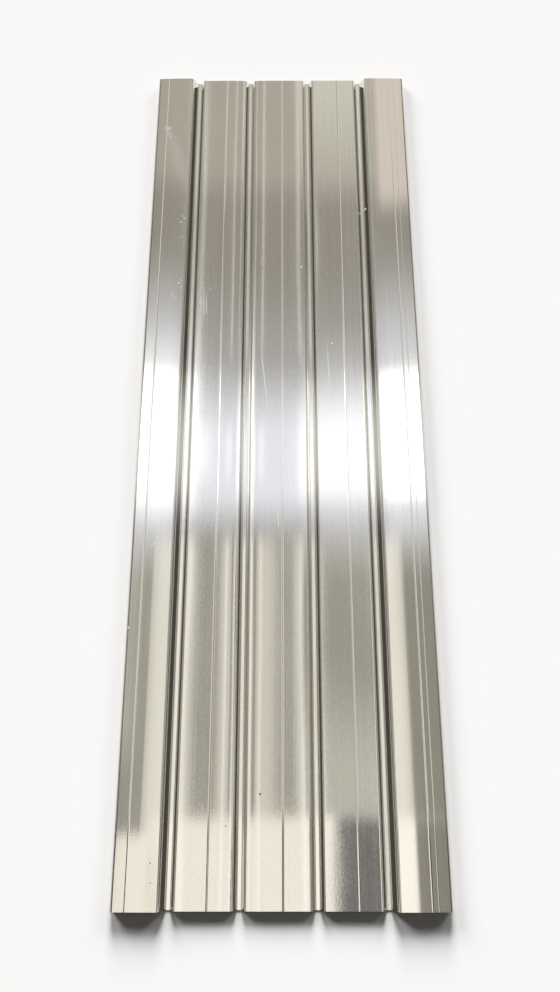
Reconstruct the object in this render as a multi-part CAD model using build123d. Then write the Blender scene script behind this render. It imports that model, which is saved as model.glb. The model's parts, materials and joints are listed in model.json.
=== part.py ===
from build123d import *

import math
import os

# Ribbed metal wall panel, roll formed from one thin sheet.
# Millimetres. X runs across the width, Y along the length, and Z up.
# The origin is at the middle of the outline, on the plane that the groove floors rest on.

# Sheet
panel_width = 300.0
panel_length = 915.0
sheet_thickness = 0.8
bend_radius = 1.2

# Grooves, measured on the underside of the sheet; the inner wall is the one nearer the panel's middle
groove_floor = 5.2
outer_wall_angle = 53.0
inner_wall_angle = 58.0
left_margin = 50.2
right_margin = 55.2
centre_pitch = 69.4

# Ridges, as heights above the groove floors, and how far each one rises again to its bead
field_rise = 5.0
edge_rise = 8.0
ridge_crown = 0.4

# Stiffening beads, each placed by its share of its own ridge's width from the left
bead_width = 1.7
bead_height = 0.25
bead_radius = 0.4
bead_shares = (0.31, 0.56, 0.57, 0.60, 0.62)

# Side lips stop short of the floor plane, so that the groove floors seat first
lip_clearance = 1.0

# Derived places across the width
half_width = panel_width / 2
lip_inside = half_width - sheet_thickness
side_pitch = (panel_width - left_margin - right_margin - centre_pitch) / 2
first_groove = left_margin - half_width
last_groove = half_width - right_margin
groove_centres = (first_groove, first_groove + side_pitch, last_groove - side_pitch, last_groove)
ridge_rises = (edge_rise, field_rise, field_rise, field_rise, edge_rise)


def shoulder(groove, side, rise):
    """Place across the panel where a groove's wall meets the ridge on that side of it."""
    wall_angle = outer_wall_angle if groove * side > 0 else inner_wall_angle
    wall_run = rise / math.tan(math.radians(wall_angle))
    return groove + side * (groove_floor / 2 + wall_run)


def ridge_ends():
    """Left and right ends of each ridge, from side lip to side lip."""
    lefts = [shoulder(x, 1, rise) for x, rise in zip(groove_centres, ridge_rises[1:])]
    rights = [shoulder(x, -1, rise) for x, rise in zip(groove_centres, ridge_rises)]
    return list(zip([-lip_inside, *lefts], [*rights, lip_inside]))


def ridge_corners(ends, share, rise):
    """Corners along one ridge with their inside radii: left end, raised bead, right end."""
    left, right = ends
    bead = left + share * (right - left)
    half = bead_width / 2
    crest = rise + ridge_crown
    return [
        ((left, rise), bend_radius),
        ((bead - half, crest), bead_radius),
        ((bead, crest + bead_height), bead_radius),
        ((bead + half, crest), bead_radius),
        ((right, rise), bend_radius),
    ]


def floor_corners(groove):
    """Two corners of a groove floor with their inside radii."""
    half = groove_floor / 2
    return [((groove - half, 0.0), bend_radius), ((groove + half, 0.0), bend_radius)]


def underside_corners():
    """Corners of the whole underside, from the free edge of the left lip to that of the right lip."""
    ridges = [ridge_corners(*ridge) for ridge in zip(ridge_ends(), bead_shares, ridge_rises)]
    floors = [floor_corners(groove) for groove in groove_centres]
    corners = [((-lip_inside, lip_clearance), bend_radius), *ridges[0]]
    for floor, ridge in zip(floors, ridges[1:]):
        corners += [*floor, *ridge]
    return [*corners, ((lip_inside, lip_clearance), bend_radius)]


def underside_radius(before, corner, after, inside):
    """Underside radius: the inside of a bend that turns over, one sheet more where it turns up."""
    first = Vector(*corner) - Vector(*before)
    second = Vector(*after) - Vector(*corner)
    bends_over = first.X * second.Y - first.Y * second.X < 0
    return inside if bends_over else inside + sheet_thickness


def sheet_section():
    """Section of the sheet, one thickness all the way across."""
    corners = underside_corners()
    points = [point for point, _ in corners]
    radii = [
        underside_radius(points[i - 1], points[i], points[i + 1], corners[i][1])
        for i in range(1, len(points) - 1)
    ]
    underside = FilletPolyline(*points, radius=radii)
    outline = underside.offset_2d(sheet_thickness, side=Side.RIGHT, closed=True)
    return Plane.XZ * make_face(outline)


panel_sheet = extrude(sheet_section(), amount=panel_length / 2, both=True)
panel_sheet.label = "panel_sheet"

os.makedirs("parts", exist_ok=True)
export_step(panel_sheet, "parts/panel_sheet.step")
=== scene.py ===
# %% [markdown]
# # A ribbed metal wall panel
# The object is one thin sheet of bright metal, roll formed into five broad ridges with narrow
# grooves between them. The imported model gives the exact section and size. This lesson builds the
# same sheet again with a finer surface, gives it a mill finish, and lights it so that the finish
# shows.

# %% Load the frame
import json
import math

import bpy
import numpy as np
from mathutils import Matrix, Vector, noise


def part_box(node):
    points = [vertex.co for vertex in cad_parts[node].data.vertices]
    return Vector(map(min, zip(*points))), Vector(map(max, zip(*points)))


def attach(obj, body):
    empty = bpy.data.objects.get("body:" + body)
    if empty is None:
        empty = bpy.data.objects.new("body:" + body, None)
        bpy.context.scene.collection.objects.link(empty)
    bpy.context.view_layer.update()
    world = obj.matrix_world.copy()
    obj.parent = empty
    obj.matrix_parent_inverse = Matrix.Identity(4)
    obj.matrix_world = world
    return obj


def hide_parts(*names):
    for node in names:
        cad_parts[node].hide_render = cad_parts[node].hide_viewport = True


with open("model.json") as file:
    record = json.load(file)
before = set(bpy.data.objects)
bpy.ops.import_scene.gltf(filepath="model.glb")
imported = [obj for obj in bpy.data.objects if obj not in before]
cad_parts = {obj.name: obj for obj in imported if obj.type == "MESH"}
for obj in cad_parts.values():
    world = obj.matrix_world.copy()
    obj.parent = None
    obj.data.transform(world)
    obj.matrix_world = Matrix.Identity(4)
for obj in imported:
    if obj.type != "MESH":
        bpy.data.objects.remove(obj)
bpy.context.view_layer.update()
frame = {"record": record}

# %% [markdown]
# ## The faces of the ridges
# Rolled faces are never quite flat. Each ridge is a little crowned, mostly near its edges, and the
# two outer ridges fall off towards the lips. All of it is a fraction of a millimetre, but bright
# metal shows it at once, because a mirror doubles every slope. It is real shape, so it goes into
# the mesh and not into a bump map.

# %% Heights of the ridge faces
MM = 0.001
low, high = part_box("panel_sheet")
ridge_rises = [rise * MM for rise in (8.0, 5.0, 5.0, 5.0, 8.0)]
left_drops = [drop * MM for drop in (0.0, 0.05, 0.42, 0.0, 0.0)]
right_drops = [drop * MM for drop in (0.0, 0.45, 0.12, -0.05, 0.0)]
CROWN_POWER = 5.0
LIP_FALL = 0.7 * MM
FALL_KNEE = 0.15
left_fall_share = 0.60
right_fall_share = 0.615


def fall(share, fall_share):
    """Height of an outer ridge near its lip: a straight fall, a soft knee, then level."""
    place = min(share / fall_share, 1 + FALL_KNEE)
    bend = max(0.0, place - 1 + FALL_KNEE)
    return LIP_FALL * (place - bend * bend / (4 * FALL_KNEE) - 0.5)


def edge_share(share):
    """0 in the middle of a ridge and 1 at its edges."""
    return abs(2 * share - 1) ** CROWN_POWER


def face_height(number, share):
    """Height of a ridge's face above the groove floors, at a share of its width from the left."""
    drop = left_drops[number] if share < 0.5 else right_drops[number]
    height = ridge_rises[number] - drop * edge_share(share)
    if number == 0:
        height += fall(share, left_fall_share)
    if number == len(ridge_rises) - 1:
        height += fall(1 - share, right_fall_share)
    return height


ridge_tops = [face_height(number, 0.5) for number in range(len(ridge_rises))]
print("ridge heights, mm:", [round(top / MM, 2) for top in ridge_tops])

# %% [markdown]
# ## The section of the sheet
# A roll former bends flat coil a little at every stand until the section is reached. Every bend has
# an inside radius, and the other face of the sheet has that radius plus the thickness. The section
# could be drawn as a curve and bevelled, but a list of corners with a radius at each is how a
# maker's drawing gives it, so the underside is written that way. The groove places come from the
# frame's own mounts.

# %% Sizes of the section
sheet_thickness = 0.8 * MM
bend_radius = 1.2 * MM
groove_floor = 5.2 * MM
outer_wall_angle = math.radians(53.0)
inner_wall_angle = math.radians(58.0)
lip_clearance = 1.0 * MM
lip_inside = high.x - sheet_thickness
groove_centres = sorted(mount["pos_m"][0] for mount in frame["record"]["mounts"])


def shoulder(groove, side, height):
    """Place across the panel where a groove's wall meets the ridge on that side."""
    wall_angle = outer_wall_angle if groove * side > 0 else inner_wall_angle
    return groove + side * (groove_floor / 2 + height / math.tan(wall_angle))


ridge_lefts = [shoulder(x, 1, face_height(i + 1, 0.0)) for i, x in enumerate(groove_centres)]
ridge_lefts.insert(0, -lip_inside)
ridge_rights = [shoulder(x, -1, face_height(i, 1.0)) for i, x in enumerate(groove_centres)]
ridge_rights.append(lip_inside)
ridges = list(zip(ridge_lefts, ridge_rights))
print("ridge widths, mm:", [round((right - left) / MM, 1) for left, right in ridges])

# %% [markdown]
# ## Beads and corners
# A small bead stiffens each ridge, and the right outer ridge has a slight crease beside its bead.
# Both are corners in the same list as the bends, so one rounding makes them all. The corners run
# from the free edge of the left lip to that of the right lip.

# %% Corners of the underside
bead_width = 1.7 * MM
bead_radius = 0.4 * MM
bead_shares = (0.31, 0.56, 0.57, 0.60, 0.62)
bead_heights = [height * MM for height in (0.077, 0.147, 0.188, 0.147, 0.080)]
crease_inset = 11.7 * MM
crease_width = 0.8 * MM
crease_height = 0.04 * MM

corners = [((-lip_inside, lip_clearance), bend_radius)]
faces = []
for number, (left, right) in enumerate(ridges):
    ribs = [(left + bead_shares[number] * (right - left), bead_width, bead_heights[number])]
    if number == len(groove_centres):
        ribs.append((right - crease_inset, crease_width, crease_height))
    feet = [middle + side * width / 2 for middle, width, _ in ribs for side in (-1, 1)]
    face = [(x, face_height(number, (x - left) / (right - left))) for x in (left, *feet, right)]
    faces.append(face)
    corners.append((face[0], bend_radius))
    for rib, (middle, _, height) in enumerate(ribs):
        before, after = face[2 * rib + 1], face[2 * rib + 2]
        top = (middle, (before[1] + after[1]) / 2 + height)
        corners += [(before, bead_radius), (top, bead_radius), (after, bead_radius)]
    corners.append((face[-1], bend_radius))
    if number < len(groove_centres):
        floor_left = groove_centres[number] - groove_floor / 2
        corners.append(((floor_left, 0.0), bend_radius))
        corners.append(((floor_left + groove_floor, 0.0), bend_radius))
corners.append(((lip_inside, lip_clearance), bend_radius))
print("section corners:", len(corners))

# %% [markdown]
# ## Rounding the corners
# Each bend becomes a true arc. A straight run between two bends is divided so that its points crowd
# towards its ends. The wide faces then keep true normals next to the tight bends, and the
# reflections do not smear.

# %% The underside as a line of points
ARC_STEP = math.radians(9.0)
FEWEST_ARC_PARTS = 3
RUN_STEP = 2.6 * MM
FEWEST_RUN_PARTS = 6
SHORT_RUN = 1.0 * MM
SHORT_RUN_PARTS = 2


def bend_points(before, corner, after, inside):
    """Points on the arc that rounds one corner, on the underside of the sheet."""
    here = Vector(corner)
    back = (Vector(before) - here).normalized()
    ahead = (Vector(after) - here).normalized()
    turns_over = back.x * ahead.y - back.y * ahead.x > 0
    radius = inside if turns_over else inside + sheet_thickness
    half = back.angle(ahead) / 2
    centre = here + (back + ahead).normalized() * (radius / math.sin(half))
    first = here + back * (radius / math.tan(half)) - centre
    sweep = math.pi - 2 * half
    count = max(FEWEST_ARC_PARTS, math.ceil(sweep / ARC_STEP))
    turn = -sweep if turns_over else sweep
    return [centre + Matrix.Rotation(turn * i / count, 2) @ first for i in range(count + 1)]


def run_points(start, end):
    """Points inside a straight run, closer together near its two ends."""
    length = (end - start).length
    fewest = SHORT_RUN_PARTS if length < SHORT_RUN else FEWEST_RUN_PARTS
    count = max(fewest, math.ceil(length / RUN_STEP))
    return [start.lerp(end, (1 - math.cos(math.pi * i / count)) / 2) for i in range(1, count)]


section = [Vector(corners[0][0])]
for before, (corner, inside), after in zip(corners, corners[1:], corners[2:]):
    arc = bend_points(before[0], corner, after[0], inside)
    section += run_points(section[-1], arc[0]) + arc
lip_end = Vector(corners[-1][0])
section += run_points(section[-1], lip_end) + [lip_end]
print("section points:", len(section))

# %% [markdown]
# ## Crown and waviness
# The corners are joined by straight runs, so the crown still has to be added between them. Thin
# sheet also waves softly along its length, which makers call oil canning. Both fade out at the
# edges of a ridge, so the groove walls keep their angle.

# %% Lift of the faces above the straight runs
WAVE_LENGTH = 150 * MM
WAVE_HEIGHT = 0.05 * MM
WAVES_ACROSS = 2.4
RIDGE_OFFSET = 7.3


def lift(x, y):
    """Lift of the sheet at a place across and along the panel."""
    number = sum(x > groove for groove in groove_centres)
    left, right = ridges[number]
    share = min(max((x - left) / (right - left), 0.0), 1.0)
    spot = (x / WAVE_LENGTH * WAVES_ACROSS, y / WAVE_LENGTH, number * RIDGE_OFFSET)
    wave = WAVE_HEIGHT * noise.noise(Vector(spot))
    straight = np.interp(x, *zip(*faces[number]))
    return face_height(number, share) - straight + wave * (1 - edge_share(share))


middle_lifts = [float(lift((left + right) / 2, 0.0)) for left, right in ridges]
print("lift in the middle of each ridge, mm:", [round(rise / MM, 2) for rise in middle_lifts])

# %% [markdown]
# ## The formed sheet
# The section is repeated at stations along the length, the stations are joined by quads, and a
# Solidify modifier grows the gauge upwards from the underside. The modifier is applied, so the mesh
# is complete.

# %% Mesh of the formed sheet
STATION_STEP = 9.0 * MM
SHARP_ANGLE = math.radians(35.0)
stations = math.ceil((high.y - low.y) / STATION_STEP)
ys = [low.y + (high.y - low.y) * i / stations for i in range(stations + 1)]
points = [(p.x, y, p.y + lift(p.x, y)) for y in ys for p in section]
points_across = len(section)
quads = [
    (i, i + 1, i + 1 + points_across, i + points_across)
    for first in range(0, stations * points_across, points_across)
    for i in range(first, first + points_across - 1)
]
underside = bpy.data.meshes.new("formed_sheet")
underside.from_pydata(points, [], quads)
formed_sheet = bpy.data.objects.new("formed_sheet", underside)
bpy.context.scene.collection.objects.link(formed_sheet)

gauge = formed_sheet.modifiers.new("gauge", "SOLIDIFY")
gauge.thickness = sheet_thickness
gauge.offset = 1.0
gauge.use_even_offset = True
solid = formed_sheet.evaluated_get(bpy.context.evaluated_depsgraph_get())
formed_sheet.data = bpy.data.meshes.new_from_object(solid)
formed_sheet.modifiers.clear()
formed_sheet.data.shade_smooth()
formed_sheet.data.set_sharp_from_angle(angle=SHARP_ANGLE)
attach(formed_sheet, "root")
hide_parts("panel_sheet")
print("formed sheet faces:", len(formed_sheet.data.polygons))

# %% [markdown]
# ## Colours and nodes
# Colours are written as the hex values that a picture editor shows, and turned to the linear values
# that Blender works in. One helper adds a node, sets its values and links its inputs.

# %% Helpers for materials


def linear(hex_colour):
    """Linear RGBA of an sRGB hex colour."""
    shares = [int(hex_colour[i:i + 2], 16) / 255 for i in (1, 3, 5)]
    return (*((c / 12.92 if c <= 0.04045 else ((c + 0.055) / 1.055) ** 2.4) for c in shares), 1.0)


def add_node(tree, kind, inputs=None, **settings):
    """Adds a node, with its settings, and its inputs set to values or linked to sockets."""
    made = tree.nodes.new("ShaderNode" + kind)
    for name, value in settings.items():
        setattr(made, name, value)
    for socket, value in (inputs or {}).items():
        if isinstance(value, bpy.types.NodeSocket):
            tree.links.new(value, made.inputs[socket])
        else:
            made.inputs[socket].default_value = value
    return made


print("middle grey is", [round(c, 3) for c in linear("#808080")])

# %% [markdown]
# ## Mill-finish aluminium
# The sheet leaves polished rolls with a mill finish: a bright, slightly hazy mirror with fine lines
# along the rolling direction and a faint grain. To the eye that gives a clear but soft picture of
# the room, drawn out along the length, and a sparkle where that picture changes from light to dark.
# Three noise patterns give the lines, the grain and the clouds of haze.

# %% Patterns of the rolled surface
aluminium = bpy.data.materials.new("aluminium_cold_rolled_mill_finish")
aluminium.use_nodes = True
tree = aluminium.node_tree
shader = tree.nodes["Principled BSDF"]
shader.inputs["Metallic"].default_value = 1.0
place = add_node(tree, "TexCoord").outputs["Object"]

# Rolling lines are about 0.2 mm apart on the real sheet, and its grain is finer still. They are
# drawn 1.6 mm and 1.3 mm wide here, because a pixel of the picture covers about a millimetre.
LINE_PITCH = 1.6 * MM
LINE_LENGTH = 260 * MM
GRAIN_SIZE = 1.3 * MM
CLOUD_SIZE = 70 * MM
GRAIN_PART = 0.6
lines_place = add_node(tree, "Mapping", {
    "Vector": place, "Scale": (1 / LINE_PITCH, 1 / LINE_LENGTH, 1 / LINE_PITCH)})
lines = add_node(tree, "TexNoise", {
    "Vector": lines_place.outputs[0], "Scale": 1.0, "Detail": 3.0, "Roughness": 0.6})
grain = add_node(tree, "TexNoise", {
    "Vector": place, "Scale": 1 / GRAIN_SIZE, "Detail": 2.0, "Roughness": 0.6})
clouds = add_node(tree, "TexNoise", {
    "Vector": place, "Scale": 1 / CLOUD_SIZE, "Detail": 3.0, "Roughness": 0.5})
mottle = add_node(tree, "Mix", {0: GRAIN_PART, 2: lines.outputs[0], 3: grain.outputs[0]})
print("patterns, mm:", [round(size / MM, 1) for size in (LINE_PITCH, GRAIN_SIZE, CLOUD_SIZE)])

# %% [markdown]
# ## Tone, haze and relief
# Bare aluminium is a warm light grey. Lines and grain vary its tone a little and its roughness
# more, the clouds add haze, and a very shallow bump breaks up the mirror. A noise mostly keeps
# between 0.3 and 0.7, so that span is stretched to the wanted values.

# %% Tone, haze and relief of the metal
NOISE_SPAN = {"From Min": 0.3, "From Max": 0.7}
RELIEF = 0.02 * MM
tone = add_node(tree, "MapRange", {
    "Value": mottle.outputs[0], **NOISE_SPAN, "To Min": 0.0, "To Max": 1.0})
metal = add_node(tree, "Mix", {
    0: tone.outputs[0], 6: linear("#E1DED7"), 7: linear("#EDEAE4")}, data_type="RGBA")
haze = add_node(tree, "MapRange", {
    "Value": clouds.outputs[0], **NOISE_SPAN, "To Min": 0.045, "To Max": 0.065})
streaks = add_node(tree, "MapRange", {
    "Value": mottle.outputs[0], **NOISE_SPAN, "To Min": -0.02, "To Max": 0.03})
roughness = add_node(tree, "Math", {0: haze.outputs[0], 1: streaks.outputs[0]}, operation="ADD")
line_bump = add_node(tree, "Bump", {
    "Strength": 0.16, "Distance": RELIEF, "Height": lines.outputs[0]})
grain_bump = add_node(tree, "Bump", {
    "Strength": 0.3, "Distance": RELIEF, "Height": grain.outputs[0],
    "Normal": line_bump.outputs[0]})
tree.links.new(grain_bump.outputs[0], shader.inputs["Normal"])
formed_sheet.data.materials.clear()
formed_sheet.data.materials.append(aluminium)
print("aluminium nodes:", len(tree.nodes))

# %% [markdown]
# ## Marks of use
# The sheet has been handled: a few rubs and scratches have dulled the bright finish, and some pale
# dust and dark spots stick to it. Each mark is a stroke between two places on the sheet, given in
# millimetres with its width. A picture of the marks could be painted, but a few measured strokes
# stay sharp at any distance.

# %% Masks for the marks
STROKE_CORE = 0.3
flat_place = add_node(tree, "VectorMath", {
    0: place, 1: (1.0, 1.0, 0.0)}, operation="MULTIPLY").outputs[0]


def stroke_mask(start, end, width, strength=1.0):
    """A mask for one stroke between two places on the sheet, with a soft outline."""
    span = Vector(end) - Vector(start)
    middle = (Vector(start) + Vector(end)) / 2 * MM
    turned = add_node(tree, "Mapping", {
        "Vector": flat_place,
        "Location": (*middle, 0.0),
        "Rotation": (0.0, 0.0, math.atan2(span.y, span.x)),
        "Scale": ((span.length + width) / 2 * MM, width / 2 * MM, 1.0)}, vector_type="TEXTURE")
    distance = add_node(tree, "VectorMath", {0: turned.outputs[0]}, operation="LENGTH")
    return add_node(tree, "MapRange", {
        "Value": distance.outputs["Value"], "From Min": 1.0, "From Max": STROKE_CORE,
        "To Min": 0.0, "To Max": strength}).outputs[0]


def any_of(tree, *masks):
    """A mask for the places that at least one of several masks covers."""
    joined = masks[0]
    for mask in masks[1:]:
        joined = add_node(tree, "Math", {0: joined, 1: mask}, operation="MAXIMUM").outputs[0]
    return joined


def all_of(tree, *masks):
    """A mask for the part that several masks share."""
    joined = masks[0]
    for mask in masks[1:]:
        joined = add_node(tree, "Math", {0: joined, 1: mask}, operation="MULTIPLY").outputs[0]
    return joined


print("a mark is full inside", STROKE_CORE, "of its half width, and soft outside that")

# %% [markdown]
# ## Places of the marks
# Most rubs run nearly along the length, as the sheet slid over others. The pale smear near the far
# left corner is a wide soft rub with a whiter head. A speck of dust and a dark spot are strokes
# that end where they start.

# %% Rubs, dust and spots
rub_masks = [
    stroke_mask((-135.0, 380.0), (-113.0, 300.0), 20.0, 0.3),
    stroke_mask((-24.2, 111.5), (-11.1, -8.8), 2.0, 0.8),
    stroke_mask((49.9, 105.3), (53.0, 16.2), 1.8, 0.8),
    stroke_mask((-131.8, -135.0), (-124.8, -126.8), 1.8),
    stroke_mask((-3.7, -88.6), (-2.4, -114.8), 1.6),
    stroke_mask((-90.0, 168.0), (-87.5, 122.0), 1.8),
    stroke_mask((-86.5, 172.0), (-85.0, 118.0), 1.8),
    stroke_mask((-83.5, 160.0), (-82.5, 128.0), 1.6),
    stroke_mask((-22.0, 205.0), (-21.0, 188.0), 2.0, 0.7),
]
smear_masks = [
    stroke_mask((-138.5, 383.0), (-133.5, 381.5), 8.0, 0.42),
    stroke_mask((-135.0, 383.0), (-131.0, 362.0), 8.0, 0.3),
]
dust_masks = [stroke_mask(spot, spot, width) for spot, width in (
    ((-115.0, 249.0), 2.4), ((-111.5, 254.0), 1.8), ((-113.5, 257.0), 1.6),
    ((-113.0, 229.0), 1.6), ((-114.0, 169.0), 2.4), ((-112.5, 173.0), 1.6),
    ((-111.0, 164.0), 1.6), ((-121.0, 154.0), 2.0), ((-118.0, 150.0), 1.6),
    ((-112.0, 140.0), 1.6), ((-89.0, 165.0), 1.6), ((-79.0, 164.0), 1.6),
    ((23.1, 191.7), 2.4), ((98.3, 271.3), 3.0), ((55.7, 95.5), 2.4), ((-147.6, -212.5), 2.4))]
spot_masks = [stroke_mask(spot, spot, width) for spot, width in (
    ((-19.4, -362.4), 2.6), ((-50.2, -389.0), 1.5), ((-116.0, -418.6), 1.6),
    ((-115.2, -434.5), 1.5), ((-63.0, 81.0), 1.6), ((-61.0, -100.0), 1.4), ((128.5, 391.0), 1.5))]
rubs = any_of(tree, *rub_masks)
dust = any_of(tree, *smear_masks, *dust_masks)
spots = any_of(tree, *spot_masks)
print("rubs", len(rub_masks), "dust", len(smear_masks + dust_masks), "spots", len(spot_masks))

# %% [markdown]
# ## Finish with its marks
# A rub leaves a broken pale trace of what rubbed there, so it covers a part of the mirror. Dust and
# spots are not metal, so they cover the mirror with their own matt colour.

# %% Finish with its marks
MATT_ROUGHNESS = 0.7
rub_breaks = add_node(tree, "MapRange", {
    "Value": mottle.outputs[0], "From Min": 0.35, "From Max": 0.65, "To Min": 0.15, "To Max": 0.45})
rubbed = all_of(tree, rubs, rub_breaks.outputs[0])
pale = any_of(tree, rubbed, dust)
matt = any_of(tree, pale, spots)
bare = add_node(tree, "Math", {0: 1.0, 1: matt}, operation="SUBTRACT")
dusted = add_node(tree, "Mix", {
    0: pale, 6: metal.outputs[2], 7: linear("#EFEDE6")}, data_type="RGBA")
spotted = add_node(tree, "Mix", {
    0: spots, 6: dusted.outputs[2], 7: linear("#1E1C1A")}, data_type="RGBA")
matted = add_node(tree, "Mix", {0: matt, 2: roughness.outputs[0], 3: MATT_ROUGHNESS})
tree.links.new(bare.outputs[0], shader.inputs["Metallic"])
tree.links.new(spotted.outputs[2], shader.inputs["Base Color"])
tree.links.new(matted.outputs[0], shader.inputs["Roughness"])
print("finish nodes:", len(tree.nodes))

# %% [markdown]
# ## Floor
# The panel lies on a plain pale floor, which carries its shadow. Matt paper gives it a soft white
# without a mirror image of the panel.

# %% Floor
FLOOR_SIZE = 12.0
half_floor = FLOOR_SIZE / 2
floor_mesh = bpy.data.meshes.new("floor")
floor_corners = [(x * half_floor, y * half_floor, 0) for x, y in ((-1, -1), (1, -1), (1, 1), (-1, 1))]
floor_mesh.from_pydata(floor_corners, [], [(0, 1, 2, 3)])
floor = bpy.data.objects.new("floor", floor_mesh)
bpy.context.scene.collection.objects.link(floor)
paper = bpy.data.materials.new("white_paper_matt")
paper.use_nodes = True
paper_shader = paper.node_tree.nodes["Principled BSDF"]
paper_shader.inputs["Base Color"].default_value = linear("#FCFBFA")
paper_shader.inputs["Roughness"].default_value = 0.9
paper_shader.inputs["Specular IOR Level"].default_value = 0.1
floor.data.materials.append(paper)
floor.location.z = min(0.0, low.z)
print("floor:", FLOOR_SIZE, "m square")

# %% [markdown]
# ## Room light
# A mirror shows the room, so the room is designed like a product studio. Every card in it is a soft
# area of the world between two angles. One angle is taken along the panel and one across it,
# because a ridge or a wall that only leans sideways keeps the first one. Area lamps could be hung
# there instead, but cards in the world need no distance and add no noise.

# %% Directions in the room
world = bpy.data.worlds.new("studio")
bpy.context.scene.world = world
world.use_nodes = True
room = world.node_tree
background = room.nodes["Background"]
direction = add_node(room, "TexCoord").outputs["Generated"]
axes = add_node(room, "SeparateXYZ", {0: direction})
along = add_node(room, "Math", {0: axes.outputs["Y"]}, operation="ARCSINE").outputs[0]
across = add_node(room, "Math", {
    0: axes.outputs["X"], 1: axes.outputs["Z"]}, operation="ARCTAN2").outputs[0]
sideways = add_node(room, "Math", {0: across}, operation="ABSOLUTE").outputs[0]
climb = add_node(room, "Math", {0: axes.outputs["Z"]}, operation="ARCSINE").outputs[0]
print("angles in the room: along, across, sideways and climb")

# %% [markdown]
# ## Soft cards
# A card is a mask with soft edges, made of steps between two angles in degrees. The cards are laid
# over the room in turn, each where all its masks overlap, with its colour and brightness.

# %% Helpers for the cards


def soft_step(angle, start, end):
    """A mask that goes softly from 0 to 1 between two angles, in degrees."""
    return add_node(room, "MapRange", {
        "Value": angle, "From Min": math.radians(start), "From Max": math.radians(end),
        "To Min": 0.0, "To Max": 1.0}, interpolation_type="SMOOTHSTEP").outputs[0]


def soft_span(angle, start, full, fading, end):
    """A mask that grows between two angles, stays full, and fades between two more, in degrees."""
    return all_of(room, soft_step(angle, start, full), soft_step(angle, end, fading))


def soft_card(angle, start, end, edge):
    """A mask for a card between two angles, in degrees, with equal soft edges."""
    return soft_span(angle, start - edge, start + edge, end - edge, end + edge)


def lay(under, cards):
    """The room with cards laid over it in turn, each with its masks, a colour and a brightness."""
    for *masks, hex_colour, level in cards:
        mask = all_of(room, *masks)
        colour = (*(c * level for c in linear(hex_colour)[:3]), 1.0)
        under = add_node(room, "Mix", {0: mask, 6: under, 7: colour}, data_type="RGBA").outputs[2]
    return under


studio = linear("#A29E96")
print("the wall of the studio is", [round(c, 3) for c in studio])

# %% [markdown]
# ## Far wall
# The far end of the panel mirrors the far wall. Lower down that wall is lighter, most of all to the
# right: the fourth ridge shows a soft fade there, and the fifth a clear edge.

# %% Far wall
far_rows = soft_step(along, 38.5, 41.1)
far_fade = soft_step(along, 37.5, 47.0)
corner_rows = soft_step(along, 37.2, 39.4)
corner_side = soft_step(across, 8.9, 9.6)
inner_light = soft_card(across, 3.0, 7.8, 0.6)
far_cards = [
    (far_rows, "#BAB6AC", 1.0),
    (far_fade, inner_light, "#DEDDD2", 1.0),
    (corner_rows, corner_side, "#E6DDD4", 1.0),
]
studio = lay(studio, far_cards)
print("far wall cards:", len(far_cards))

# %% [markdown]
# ## Near cards
# The half of the panel that is nearer to the camera mirrors a row of cream cards with grey between
# them. Most ridges then have a light side and a dark side, and the outer ones shade off softly.

# %% Near cards
near_rows = soft_card(along, -10.0, 14.5, 0.8)
left_rim = soft_step(across, -14.2, -15.3)
rim_rows = soft_step(along, -5.5, 0.0)
left_light = soft_card(across, -12.4, -6.9, 0.5)
outer_light = soft_span(across, -11.4, -9.2, -8.5, -7.9)
middle_light = soft_card(across, -4.7, -0.4, 0.6)
small_light = soft_card(across, 1.3, 2.9, 0.4)
near_fade = soft_step(along, 4.5, -5.0)
right_light = soft_card(across, 7.95, 10.6, 0.4)
right_fade = soft_step(across, 8.5, 10.3)
far_right = soft_step(across, 10.4, 11.2)
near_cards = [
    (near_rows, "#A9A79F", 1.0),
    (near_rows, left_rim, rim_rows, "#D2D0C7", 1.0),
    (near_rows, left_light, "#E2E0D6", 1.0),
    (near_rows, outer_light, "#F7F5EB", 1.0),
    (near_rows, middle_light, "#E0DDD3", 1.0),
    (near_rows, small_light, "#E6E4DA", 1.0),
    (near_rows, inner_light, near_fade, "#CBC9C0", 1.0),
    (near_rows, right_light, "#FFFCF2", 1.05),
    (near_rows, right_light, right_fade, "#E2DFD5", 1.0),
    (near_rows, far_right, "#9C9B91", 1.0),
]
studio = lay(studio, near_cards)
print("near cards:", len(near_cards))

# %% [markdown]
# ## Cards behind the camera
# The last part of the near end mirrors what hangs behind the camera: a bright cream wall, a dark
# card for the fourth ridge, and a grey one for the right side of the fifth. Two more cards lie
# beyond what the main view mirrors, so that the metal has light and shade from other sides too.

# %% Cards behind the camera
left_back = all_of(room, soft_step(along, -8.2, -8.8), soft_step(across, -9.0, -9.8))
other_back = all_of(room, soft_step(along, -7.2, -7.8), soft_step(across, -9.8, -9.0))
back_rows = any_of(room, left_back, other_back)
inner_edge = soft_card(across, 3.15, 3.95, 0.2)
inner_right = soft_card(across, 3.95, 7.95, 0.2)
beyond_far = soft_card(along, 55.0, 67.0, 4.0)
beyond_near = soft_card(along, -62.0, -36.0, 6.0)
back_cards = [
    (back_rows, "#FFFAF0", 1.07),
    (back_rows, inner_edge, "#FFFCF4", 1.25),
    (back_rows, inner_right, "#7A7979", 1.0),
    (back_rows, right_light, "#FFFBF1", 1.25),
    (back_rows, far_right, "#95938B", 1.0),
    (beyond_far, "#F4F3EF", 1.0),
    (beyond_near, "#B9B6AE", 1.0),
]
studio = lay(studio, back_cards)
print("cards behind the camera:", len(back_cards))

# %% [markdown]
# ## Overhead strip
# A broad strip of cool light hangs over the middle of the panel and crosses every ridge. It is
# whitest over the two outer ridges, has a dimmer gap over the middle one, and its glow trails off
# towards the far end.

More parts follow.
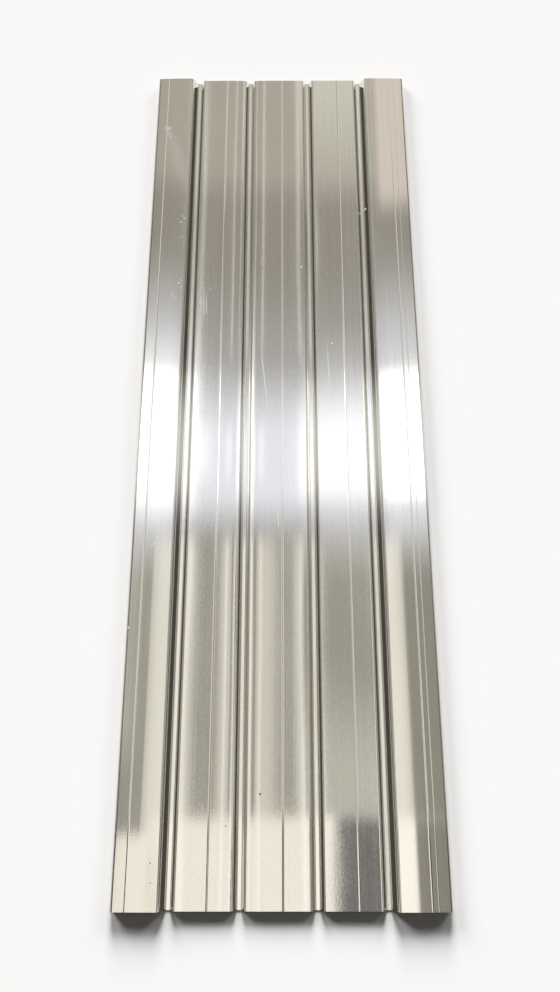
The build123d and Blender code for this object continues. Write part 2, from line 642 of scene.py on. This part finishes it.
# %% Overhead strip and its glow
outer = any_of(room, soft_step(across, -7.2, -10.0), soft_step(across, 7.9, 9.2))
left_of_gap = soft_step(across, -6.4, -8.4)
right_of_gap = soft_step(across, 0.9, 2.7)
left_lens = soft_step(across, -5.2, -7.0)
groove_lens = soft_card(across, -4.2, -2.0, 0.8)
trail_rows = soft_span(along, 12.0, 15.0, 26.0, 35.0)
glow_rows = soft_span(along, 9.0, 16.5, 23.5, 37.0)
tail_rows = soft_card(along, 12.0, 27.5, 3.0)
gap_rows = soft_span(along, 13.0, 17.2, 21.0, 28.0)
left_rows = soft_span(along, 13.5, 16.8, 22.5, 31.0)
lens_rows = soft_card(along, 18.0, 22.0, 1.3)
right_rows = soft_span(along, 15.0, 18.2, 19.8, 27.0)
strip_rows = soft_card(along, 16.5, 26.0, 0.8)
strip_cards = [
    (trail_rows, "#B8B8B7", 1.0),
    (glow_rows, outer, "#E9ECF5", 1.1),
    (tail_rows, inner_light, "#D4D5D6", 1.0),
    (gap_rows, "#E4E8F4", 1.25),
    (left_rows, left_of_gap, "#F6F8FF", 1.4),
    (lens_rows, left_lens, "#F6F8FF", 1.4),
    (lens_rows, groove_lens, "#F4F7FF", 1.3),
    (right_rows, right_of_gap, "#F6F8FF", 1.5),
    (strip_rows, outer, "#FFFFFF", 2.2),
]
studio = lay(studio, strip_cards)
print("parts of the overhead strip:", len(strip_cards))

# %% [markdown]
# ## Lines of light over the grooves
# Four narrow lines of light run over the groove floors, one for each, so that the floors shine
# between their dark walls.

# %% Lines of light over the groove floors
LINE_HALF = 0.15
LINE_EDGE = 0.2
groove_angles = (-8.03, -3.01, 2.6, 7.63)
near_lines = soft_step(along, 14.0, 12.0)
far_lines = soft_step(along, 26.0, 29.0)
line_cards = []
for angle in groove_angles:
    line = soft_card(across, angle - LINE_HALF, angle + LINE_HALF, LINE_EDGE)
    line_cards.append((line, near_lines, "#FFFEFA", 1.5))
    line_cards.append((line, far_lines, "#FFFFFC", 1.2))
studio = lay(studio, line_cards)
print("lines of light:", len(groove_angles))

# %% [markdown]
# ## Sides of the room
# The groove walls mirror the sides. Dark sides draw the grooves as dark lines, and a light flank in
# them lights a slope of each bead. Farther out the side walls are light again, and so is the part
# beside the overhead strip.

# %% Sides
beside = soft_step(sideways, 15.6, 16.6)
side_wall = soft_step(sideways, 42.5, 47.0)
above_horizon = soft_step(climb, 9.0, 13.0)
far_side = soft_step(along, 36.0, 54.0)
near_side = soft_step(along, -30.0, -54.0)
flank = soft_card(sideways, 22.5, 27.8, 0.5)
flank_rows = soft_step(along, -8.5, -7.0)
side_rows = soft_span(along, 13.5, 19.5, 21.5, 27.5)
side_cards = [
    (beside, "#54534F", 1.0),
    (side_wall, above_horizon, "#BDBAB2", 1.0),
    (side_wall, above_horizon, far_side, "#F1EEE8", 1.0),
    (side_wall, above_horizon, near_side, "#F1EEE8", 1.0),
    (flank, flank_rows, "#E9E7DF", 1.1),
    (side_rows, beside, "#E2E8E8", 1.0),
]
studio = lay(studio, side_cards)
print("side cards:", len(side_cards))

# %% [markdown]
# ## Pale surroundings
# The camera sees a plain pale backdrop wherever the floor ends, and the metal sees the same pale
# tone in a low band round the horizon. The cards give the floor only a part of its light, so that
# the lamps can draw a shadow.

# %% Backdrop
FLOOR_FILL = 0.12
rays = add_node(room, "LightPath")
low_band = soft_step(climb, 4.0, 2.0)
glossy_band = all_of(room, rays.outputs["Is Glossy Ray"], low_band)
direct = any_of(room, rays.outputs["Is Camera Ray"], rays.outputs["Is Transmission Ray"])
backdrop = any_of(room, direct, glossy_band)
studio = lay(studio, [(backdrop, "#F8F7F6", 1.0)])
fill = add_node(room, "MapRange", {
    "Value": rays.outputs["Is Diffuse Ray"], "From Min": 0.0, "From Max": 1.0,
    "To Min": 1.0, "To Max": FLOOR_FILL})
room.links.new(studio, background.inputs["Color"])
room.links.new(fill.outputs[0], background.inputs["Strength"])
print("studio nodes:", len(room.nodes))

# %% [markdown]
# ## Lamps
# Three far lamps stand low behind the far end, so the panel throws its soft shadow in front of its
# near end and a little along its sides. They have the size of big soft boxes. Their picture stays
# off the metal, which shows the room alone.

# %% Soft lamps behind the far end
LAMP_CLIMB = math.radians(17.0)
LAMP_SPREAD = math.radians(20.0)
LAMP_DISTANCE = 3.0
down_the_panel = Vector((0.0, -math.cos(LAMP_CLIMB), -math.sin(LAMP_CLIMB)))
lamps = (("back", 0.0, 6.2), ("back_left", 38.0, 2.5), ("back_right", -38.0, 1.2))
for name, side_turn, strength in lamps:
    lamp_data = bpy.data.lights.new(name + "_lamp", "SUN")
    lamp_data.angle = LAMP_SPREAD
    lamp_data.energy = strength
    lamp = bpy.data.objects.new(name + "_lamp", lamp_data)
    bpy.context.scene.collection.objects.link(lamp)
    aim = Matrix.Rotation(math.radians(side_turn), 3, "Z") @ down_the_panel
    lamp.rotation_euler = aim.to_track_quat("-Z", "Y").to_euler()
    lamp.location = aim * -LAMP_DISTANCE
    lamp.visible_glossy = False
    print(name, "lamp strength", strength)

# %% [markdown]
# ## Camera
# The picture was taken from close above, nearer to the near end, so the near end looks wider. The
# place and the tilt are those at which the outline of the panel falls on the outline in the
# picture.

# %% Camera
CAMERA_PLACE = (0.0, -0.28876, 0.70860)
camera_data = bpy.data.cameras.new("camera")
camera_data.sensor_width = 36.0
camera_data.lens = 26.0
camera = bpy.data.objects.new("camera", camera_data)
bpy.context.scene.collection.objects.link(camera)
turn = Matrix.Rotation(math.radians(0.3139), 4, "Z")
tilt = Matrix.Rotation(math.radians(16.6165), 4, "X")
roll = Matrix.Rotation(math.radians(-0.3363), 4, "Z")
camera.matrix_world = Matrix.Translation(CAMERA_PLACE) @ turn @ tilt @ roll
bpy.context.scene.camera = camera
bpy.context.scene.view_settings.view_transform = "Standard"
print("camera lens, mm:", camera_data.lens)
